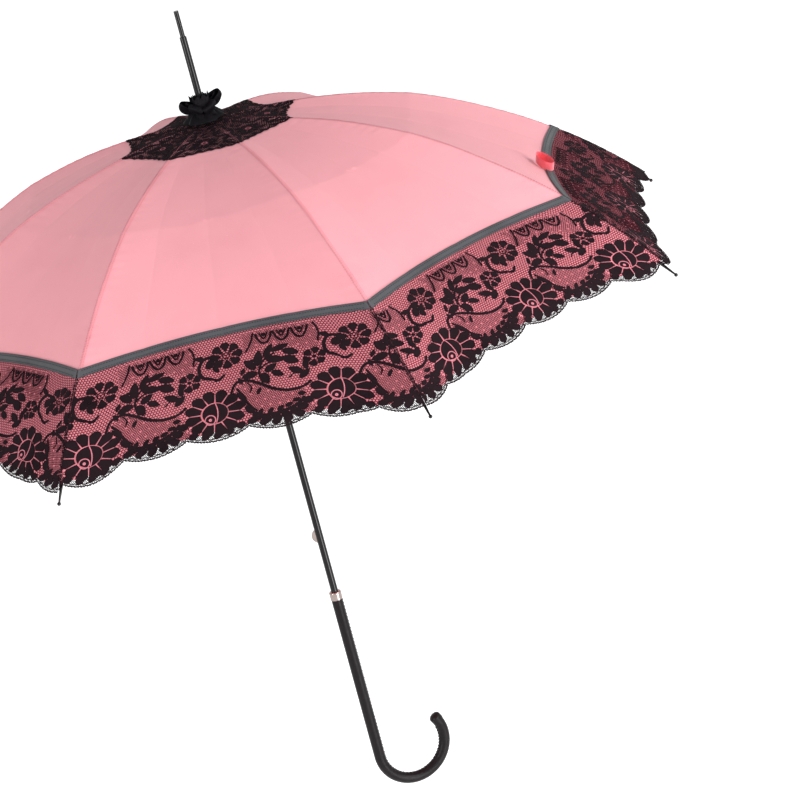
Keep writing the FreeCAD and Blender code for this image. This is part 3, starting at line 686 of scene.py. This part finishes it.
def threads(x0, x1, y0, y1, pitch, width, keep):
    """Hexagonal net as flat threads. keep tells which threads stay, by their middles."""
    a = np.arange(math.floor(x0 / pitch) - 1, math.ceil(x1 / pitch) + 2)
    row = pitch * math.sqrt(3) / 2
    b = np.arange(math.floor(y0 / row) - 1, math.ceil(y1 / row) + 2)
    grid_x = (a[None, :] + 0.5 * (b[:, None] % 2)) * pitch
    grid_y = np.broadcast_to(b[:, None] * row, grid_x.shape)
    base = np.stack([grid_x.ravel(), grid_y.ravel()], axis=-1)
    quads = []
    bond = pitch / math.sqrt(3)
    for angle in (90, 210, 330):
        run = np.array([math.cos(math.radians(angle)), math.sin(math.radians(angle))])
        side = np.array([-run[1], run[0]]) * width / 2
        start = base
        end = base + run * bond
        middle = (start + end) / 2
        chosen = keep(middle[:, 0], middle[:, 1])
        start, end = start[chosen], end[chosen]
        corners = [start - side, end - side, end, start, start + side, end + side]
        quads.append(np.stack(corners, axis=1))
    flat = np.concatenate(quads).reshape(-1, 6, 2)
    rise = np.broadcast_to(np.array([0, 0, 1, 1, 0, 0]) * THREAD_RISE, flat.shape[:2])
    points = np.concatenate([flat, rise[..., None]], axis=-1).reshape(-1, 3)
    first = np.arange(len(flat))[:, None] * 6
    faces = np.concatenate([first + np.array([0, 1, 2, 3]), first + np.array([3, 2, 5, 4])])
    return points, faces


def inside(x, y, outline):
    """Whether places lie inside a closed outline."""
    hit = np.zeros(x.shape, bool)
    for (x0, y0), (x1, y1) in zip(outline, outline[1:] + outline[:1]):
        crosses = (y0 > y) != (y1 > y)
        level = x0 + (y - y0) * (x1 - x0) / ((y1 - y0) or 1e-9)
        hit ^= crosses & (x < level)
    return hit


# outlines of the close net: under the curved stem, under the ribbon and beside the flower
POCKET = [
    (-103, 20), (-92, 27), (-77, 20), (-62, 11), (-46, 7),
    (-33, 8), (-38, -8), (-55, -13), (-80, -12), (-94, 2),
]
BAND = [
    (-88, 86), (-88, 62), (-74, 64), (-60, 68), (-44, 62),
    (-30, 56), (-14, 54), (-10, 66), (-12, 86),
]
WEDGE = [(-36, -2), (-26, -12), (-30, -24), (-46, -20), (-52, -14)]


def dense(x, y):
    return inside(x, y, POCKET) | inside(x, y, BAND) | inside(x, y, WEDGE)


def lace_gore(offset):
    """The border over one gore: x from mid-gore, y up from the flowers' middles."""
    art = lace_repeat()
    points = np.array(art.points)
    tiles = []
    faces = []
    marks = []
    count = 0
    for step in range(-2, 3):
        shift = offset + step * REPEAT
        if abs(shift) > LACE_REACH + REPEAT / 2:
            continue
        tiles.append(points + np.array([shift, 0, 0]))
        faces += [[count + index for index in face] for face in art.faces]
        marks += art.marks
        count += len(points)

    def wrapped(x):
        there = (x - offset + REPEAT) % REPEAT - REPEAT
        return np.where(there < -REPEAT + 20, there + REPEAT, there)

    def flower(x, y):
        near = (x - offset + REPEAT / 2) % REPEAT - REPEAT / 2
        return (near / 28.0) ** 2 + (y / 23.5) ** 2 < 1

    def bordered(x, y):
        return (y > hem_wave(x - offset) + 0.8) & ~flower(x, y)

    def keep_open(x, y):
        return bordered(x, y) & ~dense(wrapped(x), y)

    def keep_dense(x, y):
        dots = np.hypot((x + 4.5 * (np.floor(y / 8) % 2)) % 9 - 4.5, y % 8 - 4) > 1.1
        return bordered(x, y) & dense(wrapped(x), y) & dots

    def keep_edge(x, y):
        return keep_open(x, y) & (y < PINK_SHORT - FLOWER_OVER_HEM)

    def keep_inner(x, y):
        return keep_open(x, y) & (y >= PINK_SHORT - FLOWER_OVER_HEM)

    nets = (
        (3.0, 0.80, keep_inner, 1),
        (1.8, 0.56, keep_edge, 0),
        (2.1, 0.70, keep_dense, 1),
    )
    for pitch, width, keep, mark in nets:
        flat, indices = threads(-LACE_REACH, LACE_REACH, -34, 96, pitch, width, keep)
        tiles.append(flat)
        faces += (indices + count).tolist()
        marks += [mark] * len(indices)
        count += len(flat)
    return np.concatenate(tiles), faces, marks


def clipped(points, faces, marks, planes):
    """Cuts a flat pattern by lines, each a place and the direction to drop."""
    mesh = bpy.data.meshes.new("cut")
    mesh.from_pydata(points.tolist(), [], faces)
    mesh.polygons.foreach_set("material_index", np.asarray(marks, dtype=np.int32))
    work = bmesh.new()
    work.from_mesh(mesh)
    bpy.data.meshes.remove(mesh)
    for place, outward in planes:
        bmesh.ops.bisect_plane(
            work,
            geom=work.verts[:] + work.edges[:] + work.faces[:],
            dist=1e-5,
            plane_co=(*place, 0),
            plane_no=(*outward, 0),
            clear_outer=True,
        )
    work.verts.ensure_lookup_table()
    work.verts.index_update()
    places = np.array([v.co[:] for v in work.verts]).reshape(-1, 3)
    rings = [[v.index for v in face.verts] for face in work.faces]
    kinds = [face.material_index for face in work.faces]
    work.free()
    return places, rings, kinds


def half_pattern(pattern, side, half, lean, bottom, top):
    """One half of a gore's pattern, cut at mid-gore, along its rib and at its top.

    The faces of side 1 are turned over here, because Cloth.add turns them back.
    """
    sign = -1 if side == 0 else 1
    planes = [
        ((0, 0), (-sign, 0)),
        ((sign * half, bottom), (sign, lean)),
        ((0, top), (0, 1)),
    ]
    places, rings, kinds = clipped(*pattern, planes)
    if side == 1:
        rings = [ring[::-1] for ring in rings]
    return places, rings, kinds


# The folding cover


def gather(piece, number, side, outer):
    """Rides on the half-gore's own rib."""
    rib_number = (number - 1 + side) % RIBS + 1
    arc = OUTER if outer else INNER
    radius, height = arc.place(arc.length / 2, FABRIC_LIFT)
    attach(piece, "%s_%d" % ("rib_outer" if outer else "rib_inner", rib_number))
    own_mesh(piece)


def declare(area=None):
    """Turns a sheet's area from square millimetres into square metres, and does nothing more with it.
    """
    area = area and area * MM * MM


def stitches(cloth, path_along, path_fraction, length, width, gap, lift, mark):
    """Short raised stitches between two distances, their place across given as a function."""
    total = path_along[1] - path_along[0]
    count = int(total / (length + gap))
    for index in range(count):
        start = path_along[0] + index * (length + gap)
        rows = np.repeat([start, start + length], 3)
        middle = path_fraction(rows)
        half = width / 2 / gore_width(rows)
        side = np.array([-1, 0, 1, -1, 0, 1]) * half
        raised = lift + np.array([0, 0.3, 0, 0, 0.3, 0])
        cloth.add(rows, np.maximum(middle + side, 0), raised, [[0, 3, 4, 1], [1, 4, 5, 2]], mark)


def seam(cloth, start, end):
    """The sewn fold beside a rib, with its two rows of stitches."""
    if cloth.side == 0:
        rows = 90
        along = np.repeat(np.linspace(start, end, rows), 4)
        reach = np.tile(np.array([0.0, 0.5, 3.2, 3.8]), rows)
        raised = np.tile(np.array([0.10, 0.50, 0.45, 0.0]), rows)
        cloth.add(along, reach / gore_width(along), raised, grid_faces(rows, 4), 1)
    for reach, lift in ((0.9, 0.45), (2.9, 0.42)) if cloth.side == 0 else ((0.8, 0.02),):
        stitches(
            cloth, (start, end), lambda a, r=reach: r / gore_width(a), 1.8, 0.4, 1.3, lift, 2
        )


def pink_pieces(number, side):
    panel = "canopy_panel_%d" % number
    cloths = [PINK, PINK_SEAM, PINK_THREAD]
    cloth = Cloth(number, side)
    start = FABRIC_HOLE - CROWN[0]
    cloth.sheet(lambda f: np.full_like(f, start), split_line, 64, 26, 0.0)
    seam(cloth, PATCH_ALONG - 6, INNER.length)
    inner = cloth.finish("canopy_inner", cloths, False, panel)
    length = INNER.length + SPLIT_LEAN - start
    width = gore_width(INNER.length + SPLIT_LEAN) / 2
    declare(0.5 * width * length)

    cloth = Cloth(number, side)
    cloth.sheet(split_line, lambda f: ribbon_line(f) + 5, 46, 34, 0.0)
    # from the ribbon out to the hem the cloth takes the fourth material, the pink with painted shade
    # from the lace
    cloth.sheet(lambda f: ribbon_line(f) + 5, lambda f: hem_line(f) - PINK_SHORT, 28, 34, 0.0, 3)
    seam(cloth, INNER.length, INNER.length + RIBBON_ALONG)
    outer = cloth.finish("canopy_outer", cloths + [PINK_SHADED_UNDER_LACE], True, panel)
    length = CORNER - INNER.length
    width = gore_width(CORNER) / 2
    declare(0.7 * width * length)


# how far the lace's repeat is moved on each gore
LACE_OFFSETS = (22.0, -40.0, 8.0, 50.0, -12.0, -20.0, 14.0, -34.0)
LACE_LIFT = 0.35
LACE_HEIGHT = 126.0
LACE_HALF = gore_width(CORNER) / 2
LACE_LEAN = (LACE_HALF - gore_width(CORNER - LACE_HEIGHT) / 2) / LACE_HEIGHT


def lace_along(across, up):
    """Where a place of the border lies along and across the gore."""
    half = LACE_HALF - LACE_LEAN * (up + FLOWER_OVER_HEM)
    share = np.clip(0.5 + across / (2 * half), 0, 1)
    return hem_line(share) - (up + FLOWER_OVER_HEM), share


def lace_pieces(number):
    pattern = lace_gore(LACE_OFFSETS[number - 1])
    for side in (0, 1):
        work = half_pattern(
            pattern, side, LACE_HALF, LACE_LEAN, -FLOWER_OVER_HEM, LACE_HEIGHT - FLOWER_OVER_HEM
        )
        along, share = lace_along(work[0][:, 0], work[0][:, 1])
        cloth = Cloth(number, side)
        cloth.lay(work, along, cloth.share(share))
        line = (INNER.length + RIBBON_ALONG + RIBBON_WIDTH, CORNER - 1)
        stitches(cloth, line, lambda a: 0.8 / gore_width(a), 3.0, 1.5, 0.5, 1.0, 0)
        piece = cloth.finish("lace_border", LACE_WORK, True, "lace_border")
        cut = (LACE_HALF - LACE_LEAN * LACE_HEIGHT / 2) * LACE_HEIGHT
        declare(cut)


def ribbon_pieces(number):
    for side in (0, 1):
        cloth = Cloth(number, side)
        lift = 1.35
        cloth.sheet(ribbon_line, lambda f: ribbon_line(f) + RIBBON_WIDTH, 5, 40, lift)
        for middle in (0.0, RIBBON_WIDTH):
            cloth.sheet(
                lambda f, d=middle: ribbon_line(f) + d - 0.55,
                lambda f, d=middle: ribbon_line(f) + d + 0.55,
                3, 40, lift + 0.1, 1,
            )
        step = 2.6 / gore_width(ribbon_line(0.25))
        for edge in (2.4, RIBBON_WIDTH - 1.9):
            for index in range(int(0.5 / step)):
                begin = index * step
                ends = np.array([begin, begin + step * 0.62])
                rows = np.repeat(ribbon_line(ends) + edge, 2) + np.array([-0.5, 0.5, -0.5, 0.5])
                cloth.add(rows, np.repeat(ends, 2), lift + 0.22, [[0, 1, 3, 2]], 2)
        # folded corner over the rib
        corner = ribbon_line(0.0)
        reach = 4.5 / gore_width(corner)
        rows = corner + np.array([-0.3, RIBBON_WIDTH + 0.3, RIBBON_WIDTH - 1.6, -1.5])
        across = np.array([0, 0, reach * 1.1, reach * 0.5])
        cloth.add(rows, across, lift + 0.4, [[0, 1, 2, 3]])
        cloths = [GROSGRAIN, RIBBON_EDGE, RIBBON_STITCH]
        piece = cloth.finish("ribbon", cloths, True, "ribbon_trim")
        declare()


PATCH_HIGH = 92.0


def patch_art():
    """The top patch over one gore: x from mid-gore, y up from its edge towards the crown."""
    art = Pattern()
    draw = random.Random(5)
    for row in range(9):
        y = 5 + row * 9.5
        half = 42 * (1 - y / 98)
        count = max(2, int(2 * half / 12))
        for index in range(count):
            x = -half + 2 * half * (index + 0.5) / count + draw.uniform(-2, 2)
            angle = draw.uniform(-60, 60)
            art.leaf(x, y + draw.uniform(-2, 2), draw.uniform(9, 14), draw.uniform(4, 6), angle)
    for turn in (-1, 1):
        stem = [(turn * 34, 6), (turn * 22, 16), (turn * 26, 30), (turn * 12, 40), (turn * 10, 60)]
        art.curve(stem, 3.0)
    art.flower(0, 24, 4.5, 15, 9, 0.9, 1.4)
    art.ring(0, 24, 3.0, 1.0, rise=0.8, mark=2)
    edge = []
    for index in range(53):
        x = -42 + 84 * index / 52
        edge.append((x, 1.7 + 1.3 * math.sin(0.95 * index) + draw.uniform(-1.3, 1.3)))
    art.stroke(edge, 3.4)
    return art


def patch_windows():
    """Long openings in the patch's close net, where the pink shows through."""
    draw = random.Random(8)
    windows = []
    for row in range(7):
        y = 8 + row * 11
        half = 38 * (1 - y / 98)
        for _ in range(max(1, int(half / 6))):
            x = draw.uniform(-half, half)
            level = y + draw.uniform(-4, 4)
            windows.append((x, level, draw.uniform(-0.5, 0.5), draw.uniform(3, 8)))
    return windows


def patch_pieces(number):
    art = patch_art()
    points = np.array(art.points)
    faces = art.faces
    marks = art.marks
    windows = patch_windows()

    def is_open(x, y):
        found = np.zeros(x.shape, bool)
        for middle, level, turn, reach in windows:
            run, side = turned(x - middle, y - level, -turn)
            found |= (run / reach) ** 2 + (side / 2.2) ** 2 < 1
        return found

    def keep_close(x, y):
        return (y > 0.8) & ~is_open(x, y)

    def keep_window(x, y):
        return (y > 0.8) & is_open(x, y)

    for width, keep in ((1.26, keep_close), (0.6, keep_window)):
        net, indices = threads(-46, 46, 0, PATCH_HIGH, 2.6, width, keep)
        faces += (indices + len(points)).tolist()
        marks += [0 if keep is keep_close else 1] * len(indices)
        points = np.concatenate([points, net])
    half = gore_width(PATCH_ALONG) / 2
    top = FABRIC_HOLE - CROWN[0]
    lean = (half - gore_width(top) / 2) / (PATCH_ALONG - top)
    for side in (0, 1):
        work = half_pattern(
            (points, faces, marks), side, half, lean, 0, PATCH_ALONG - top - 0.5
        )
        across, up = work[0][:, 0], work[0][:, 1]
        fraction = 0.5 - np.abs(across) / (2 * (half - lean * up))
        cloth = Cloth(number, side)
        cloth.lay(work, PATCH_ALONG - up - 8 * bulge(fraction) * (1 - up / PATCH_HIGH), fraction)
        if side == 0:
            line = (34.0, PATCH_ALONG - 3)
            stitches(cloth, line, lambda a: 1.2 / gore_width(a), 1.7, 0.75, 1.6, 0.95, 2)
        piece = cloth.finish("top_patch", LACE_WORK, False, "top_patch")
        declare(0.75 * half * (PATCH_ALONG - top))


for gore in range(1, RIBS + 1):
    pink_pieces(gore, 0)
    pink_pieces(gore, 1)
    lace_pieces(gore)
    ribbon_pieces(gore)
    patch_pieces(gore)


# Rosette: loops of organza about the ferrule, standing frills, and skirts over the patch

ROSETTE_FOOT = 655.4
RIBBON_THICK = 0.4 * MM


def ruffle(faces, points, start, end, waves, depth, turn=0.0, tooth=0.0):
    """A gathered frill between two circles, each given as radius and height over the foot."""
    first = len(points)
    rows, columns = 10, 144
    for row in range(rows):
        t = row / (rows - 1)
        bow = math.sin(math.pi * t) * 1.6
        for column in range(columns):
            a = 2 * math.pi * column / columns
            phase = waves * a + turn + 0.8 * math.sin(2 * a + turn)
            radius = start[0] + (end[0] - start[0]) * t + bow + math.sin(phase) * depth * t
            height = ROSETTE_FOOT + start[1] + (end[1] - start[1]) * t
            height += math.sin(phase + 1.3) * depth * 0.5 * t
            height += tooth * t**3 * 2 * abs((column / 16) % 1 - 0.5)
            points.append((radius * math.cos(a), radius * math.sin(a), height))
    faces += ring_faces(rows, columns, first)


def bow_loop(faces, points, azimuth, reach, width, level, height, roll):
    """A broad loop of ribbon that leaves the ferrule, turns over at its end and comes back.

    roll turns it about its own outward line.
    """
    first = len(points)
    rows, columns = 26, 15
    turn = math.radians(azimuth)
    roll = math.radians(roll)
    for row in range(rows):
        t = row / (rows - 1)
        full = math.sin(math.pi * t)
        out = 4.5 + reach * full**0.75
        tall = -height / 2 * math.cos(math.pi * t)
        for column in range(columns):
            s = 2 * column / (columns - 1) - 1
            across = s * width / 2 * (0.42 + 0.58 * full**0.6)
            pleat = 0.8 * math.cos(3.5 * s + azimuth) * (1 - 0.5 * full)
            r = out - 2.4 * s * s * full
            beside, above = turned(across, tall + pleat, roll)
            points.append((*turned(r, beside, turn), ROSETTE_FOOT + level + above + 5.0 * full))
    faces += grid_faces(rows, columns, first)


def rosette():
    points = []
    faces = []
    ruffle(faces, points, (5.5, 14), (21.0, 1.0), 7, 2.2, 0.4)
    ruffle(faces, points, (5.0, 16), (16.0, 5.0), 6, 2.4, 1.9)
    ruffle(faces, points, (6.4, 6), (9.6, 24), 5, 1.4, 0.3, 4.6)
    ruffle(faces, points, (4.8, 10), (7.2, 24), 4, 1.2, 2.0, 4.0)
    loops = (
        (168, 19, 16, 14, 10, 50), (226, 13, 17, 11, 10, -30), (285, 13, 18, 10, 10, 25),
        (350, 19, 16, 17, 11, -48), (45, 14, 16, 13, 10, 35), (108, 14, 17, 13, 10, -40),
    )
    for azimuth, reach, width, level, height, roll in loops:
        bow_loop(faces, points, azimuth, reach, width, level, height, roll)
        bow_loop(faces, points, azimuth + 6, reach * 0.7, width * 0.8, level, height * 0.45, roll)
    uvs = [(p[0] * MM + p[1] * MM * 0.3, p[2] * MM + p[1] * MM * 0.5) for p in points]
    piece = make_mesh("ruffled_rosette", points, faces, [ORGANZA], uvs)
    solid = piece.modifiers.new("thickness", "SOLIDIFY")
    solid.thickness = RIBBON_THICK
    settle(piece, "rosette")


rosette()


# Handle

HANDLE_RADIUS = 6.2
HANDLE_TOP = 96.5
CROOK_HEIGHT = -99.4
CROOK_RADIUS = 39.65
CROOK_TURN = math.radians(203)
STRAIGHT = HANDLE_TOP - CROOK_HEIGHT
GRIP_LENGTH = STRAIGHT + CROOK_RADIUS * CROOK_TURN
STITCH_PITCH = 4.4


def grip_frame(distance):
    """A place on the grip's middle, the way along it, and the way to the crook's inside."""
    if distance <= STRAIGHT:
        return Vector((0, 0, HANDLE_TOP - distance)), Vector((0, 0, -1)), Vector((1, 0, 0))
    turn = (distance - STRAIGHT) / CROOK_RADIUS
    inward = Vector((math.cos(turn), 0, math.sin(turn)))
    place = Vector((CROOK_RADIUS, 0, CROOK_HEIGHT)) - inward * CROOK_RADIUS
    along = Vector((math.sin(turn), 0, -math.cos(turn)))
    return place, along, inward


def grip_point(distance, angle, radius):
    place, _, inward = grip_frame(distance)
    return place + inward * (radius * math.cos(angle)) + Vector((0, radius * math.sin(angle), 0))


def grip():
    """Leather sewn round the core, its seam on the crook's inside."""
    points = []
    uvs = []
    rows, columns = 240, 56
    for row in range(rows):
        distance = GRIP_LENGTH * row / (rows - 1)
        for column in range(columns):
            angle = 2 * math.pi * column / columns
            off = math.atan2(math.sin(angle), math.cos(angle))
            seam_lip = 0.30 * math.exp(-((abs(off) - 0.15) / 0.09) ** 2)
            seam_lip -= 0.55 * math.exp(-((off / 0.06) ** 2))
            pull = 0.10 * math.exp(-abs(off) / 0.5) * math.sin(distance * 2 * math.pi / STITCH_PITCH)
            wrinkle = 0.0
            if distance > STRAIGHT - 12:
                wrinkle = 0.16 * max(0.0, math.cos(off)) * math.sin(distance * 1.15)
            ends = 0.35 * math.exp(-distance / 1.5)
            radius = HANDLE_RADIUS + seam_lip + pull + wrinkle - ends
            points.append(grip_point(distance, angle, radius))
            uvs.append((distance * MM, angle * HANDLE_RADIUS * MM))
    faces = [[face[0], face[3], face[2], face[1]] for face in ring_faces(rows, columns)]
    marks = [0] * len(faces)
    for index in range(int((GRIP_LENGTH - 4) / STITCH_PITCH)):
        whip_stitch(points, faces, uvs, 3 + index * STITCH_PITCH)
    marks += [1] * (len(faces) - len(marks))
    piece = make_mesh("leather_grip", points, faces, [LEATHER, LEATHER_THREAD], uvs, marks)
    settle(piece, "handle_leather")


def whip_stitch(points, faces, uvs, middle):
    """One slanted stitch over the seam."""
    _, along, inward = grip_frame(middle)
    rows, sides = 7, 6
    first = len(points)
    for row in range(rows):
        t = 2 * row / (rows - 1) - 1
        centre = grip_point(middle + 1.1 * t, 0.27 * t, HANDLE_RADIUS + 0.55 - 0.5 * t * t)
        size = 0.52 * math.sqrt(max(0.05, 1 - 0.9 * t * t))
        for side in range(sides):
            a = 2 * math.pi * side / sides
            points.append(centre + along * (size * math.cos(a)) + inward * (size * math.sin(a)))
            uvs.append((middle * MM, a * MM))
    faces += ring_faces(rows, sides, first)


grip()


# Tie strap

STRAP_GORE = 8
STRAP_SHARE = 17.0 / 45.0
STRAP_ALONG = 156.0
STRAP_TURN = math.radians(-45)
STRAP_LEAN = math.radians(28)
STRAP_REACH = 13.4
STRAP_HOLLOW = 5.6


def tie_strap():
    """A flattened loop of ribbon that stands on its edge."""
    along = INNER.length + STRAP_ALONG
    places, normals = on_cover(STRAP_GORE, [along, along + 5], STRAP_SHARE, 1.6)
    origin = Vector(places[0])
    up = Vector(normals[0]).normalized()
    run = (Vector(places[1]) - origin).normalized()
    side = up.cross(run).normalized()
    first_way = run * math.cos(STRAP_TURN) + side * math.sin(STRAP_TURN)
    second_way = up.cross(first_way) * math.cos(STRAP_LEAN) + up * math.sin(STRAP_LEAN)
    up = first_way.cross(second_way)
    origin += up * 1.5
    points = []
    uvs = []
    around, rows = 72, 9
    for row in range(rows):
        t = row / (rows - 1)
        for column in range(around):
            a = 2 * math.pi * column / around
            flat = abs(math.cos(a)) ** 0.8 * math.copysign(1, math.cos(a))
            x = STRAP_REACH * flat
            y = STRAP_HOLLOW * math.sin(a) * (1 - 0.25 * flat * flat)
            y -= 0.9 * math.exp(-((a - 1.9) ** 2) / 0.25) * (1 - 0.5 * t)
            height = 0.4 + 9.8 * t + 0.5 * math.sin(2 * a + 0.6) * (1 - t)
            flare = 1 + 0.03 * t
            points.append(origin + first_way * (x * flare) + second_way * (y * flare) + up * height)
            uvs.append((a * 8 * MM, 10 * t * MM))
    piece = make_mesh("coral_tie_strap", points, ring_faces(rows, around), [STRAP], uvs)
    gather(piece, STRAP_GORE, 0, True)
    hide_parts("tie_strap")
    declare()


tie_strap()


# Stage, light and camera

FLOOR = -1.1
REACH = 40.0
floor_mesh = bpy.data.meshes.new("floor")
floor_corners = [(x * REACH, y * REACH, FLOOR) for x, y in ((-1, -1), (1, -1), (1, 1), (-1, 1))]
floor_mesh.from_pydata(floor_corners, [], [[0, 1, 2, 3]])
floor = shown("floor", floor_mesh)
pale, pale_shader = shader("pale_floor", (0.92, 0.92, 0.92), 0.9, specular=0.0)
pale_shader.inputs["Emission Color"].default_value = (1, 1, 1, 1)
pale_shader.inputs["Emission Strength"].default_value = 0.7
floor_mesh.materials.append(pale)

world = bpy.data.worlds.new("studio")
bpy.context.scene.world = world
world.use_nodes = True

# white walls under a darker ceiling
sky = world.node_tree.nodes["Background"]
height = node(world, "ShaderNodeSeparateXYZ")
link(world, coordinates(world, "Generated"), height.inputs[0])
tint(world, height.outputs["Z"], sky.inputs["Color"], (1, 1, 1), (0.16, 0.16, 0.17), 0.3, 0.9)
sky.inputs["Strength"].default_value = 1.1


def area_light(name, place, target, size, power):
    light = bpy.data.lights.new(name, "AREA")
    light.shape = "RECTANGLE"
    light.size, light.size_y = size
    light.energy = power
    item = shown(name, light)
    item.location = place
    item.rotation_euler = (Vector(target) - Vector(place)).to_track_quat("-Z", "Y").to_euler()


area_light("key", (1.70, -2.40, 1.40), (0, 0, 0.55), (1.5, 1.7), 80)
area_light("fill", (-2.80, -1.10, 1.00), (0, 0, 0.5), (0.5, 2.0), 52)
area_light("strip", (0.90, -2.33, -0.28), (0, 0, 0.2), (0.85, 1.3), 46)

CAMERA_PLACE = Vector((-0.99252, -3.47162, 1.48596))
CAMERA_AIM = Vector((0.11693, -0.03778, 0.30047))
CAMERA_ROLL = math.radians(14.7145)
CAMERA_LENS = 157.93
camera_data = bpy.data.cameras.new("camera")
camera_data.lens = CAMERA_LENS
camera_data.sensor_width = 36
camera_data.clip_end = 100
camera = shown("camera", camera_data)
forward = (CAMERA_AIM - CAMERA_PLACE).normalized()
right = forward.cross(Vector((0, 0, 1))).normalized()
level = right.cross(forward)
above = level * math.cos(CAMERA_ROLL) + right * math.sin(CAMERA_ROLL)
beside = forward.cross(above)
camera.rotation_euler = Matrix((beside, above, -forward)).transposed().to_euler()
camera.location = CAMERA_PLACE
bpy.context.scene.camera = camera
bpy.context.scene.view_settings.view_transform = "Standard"
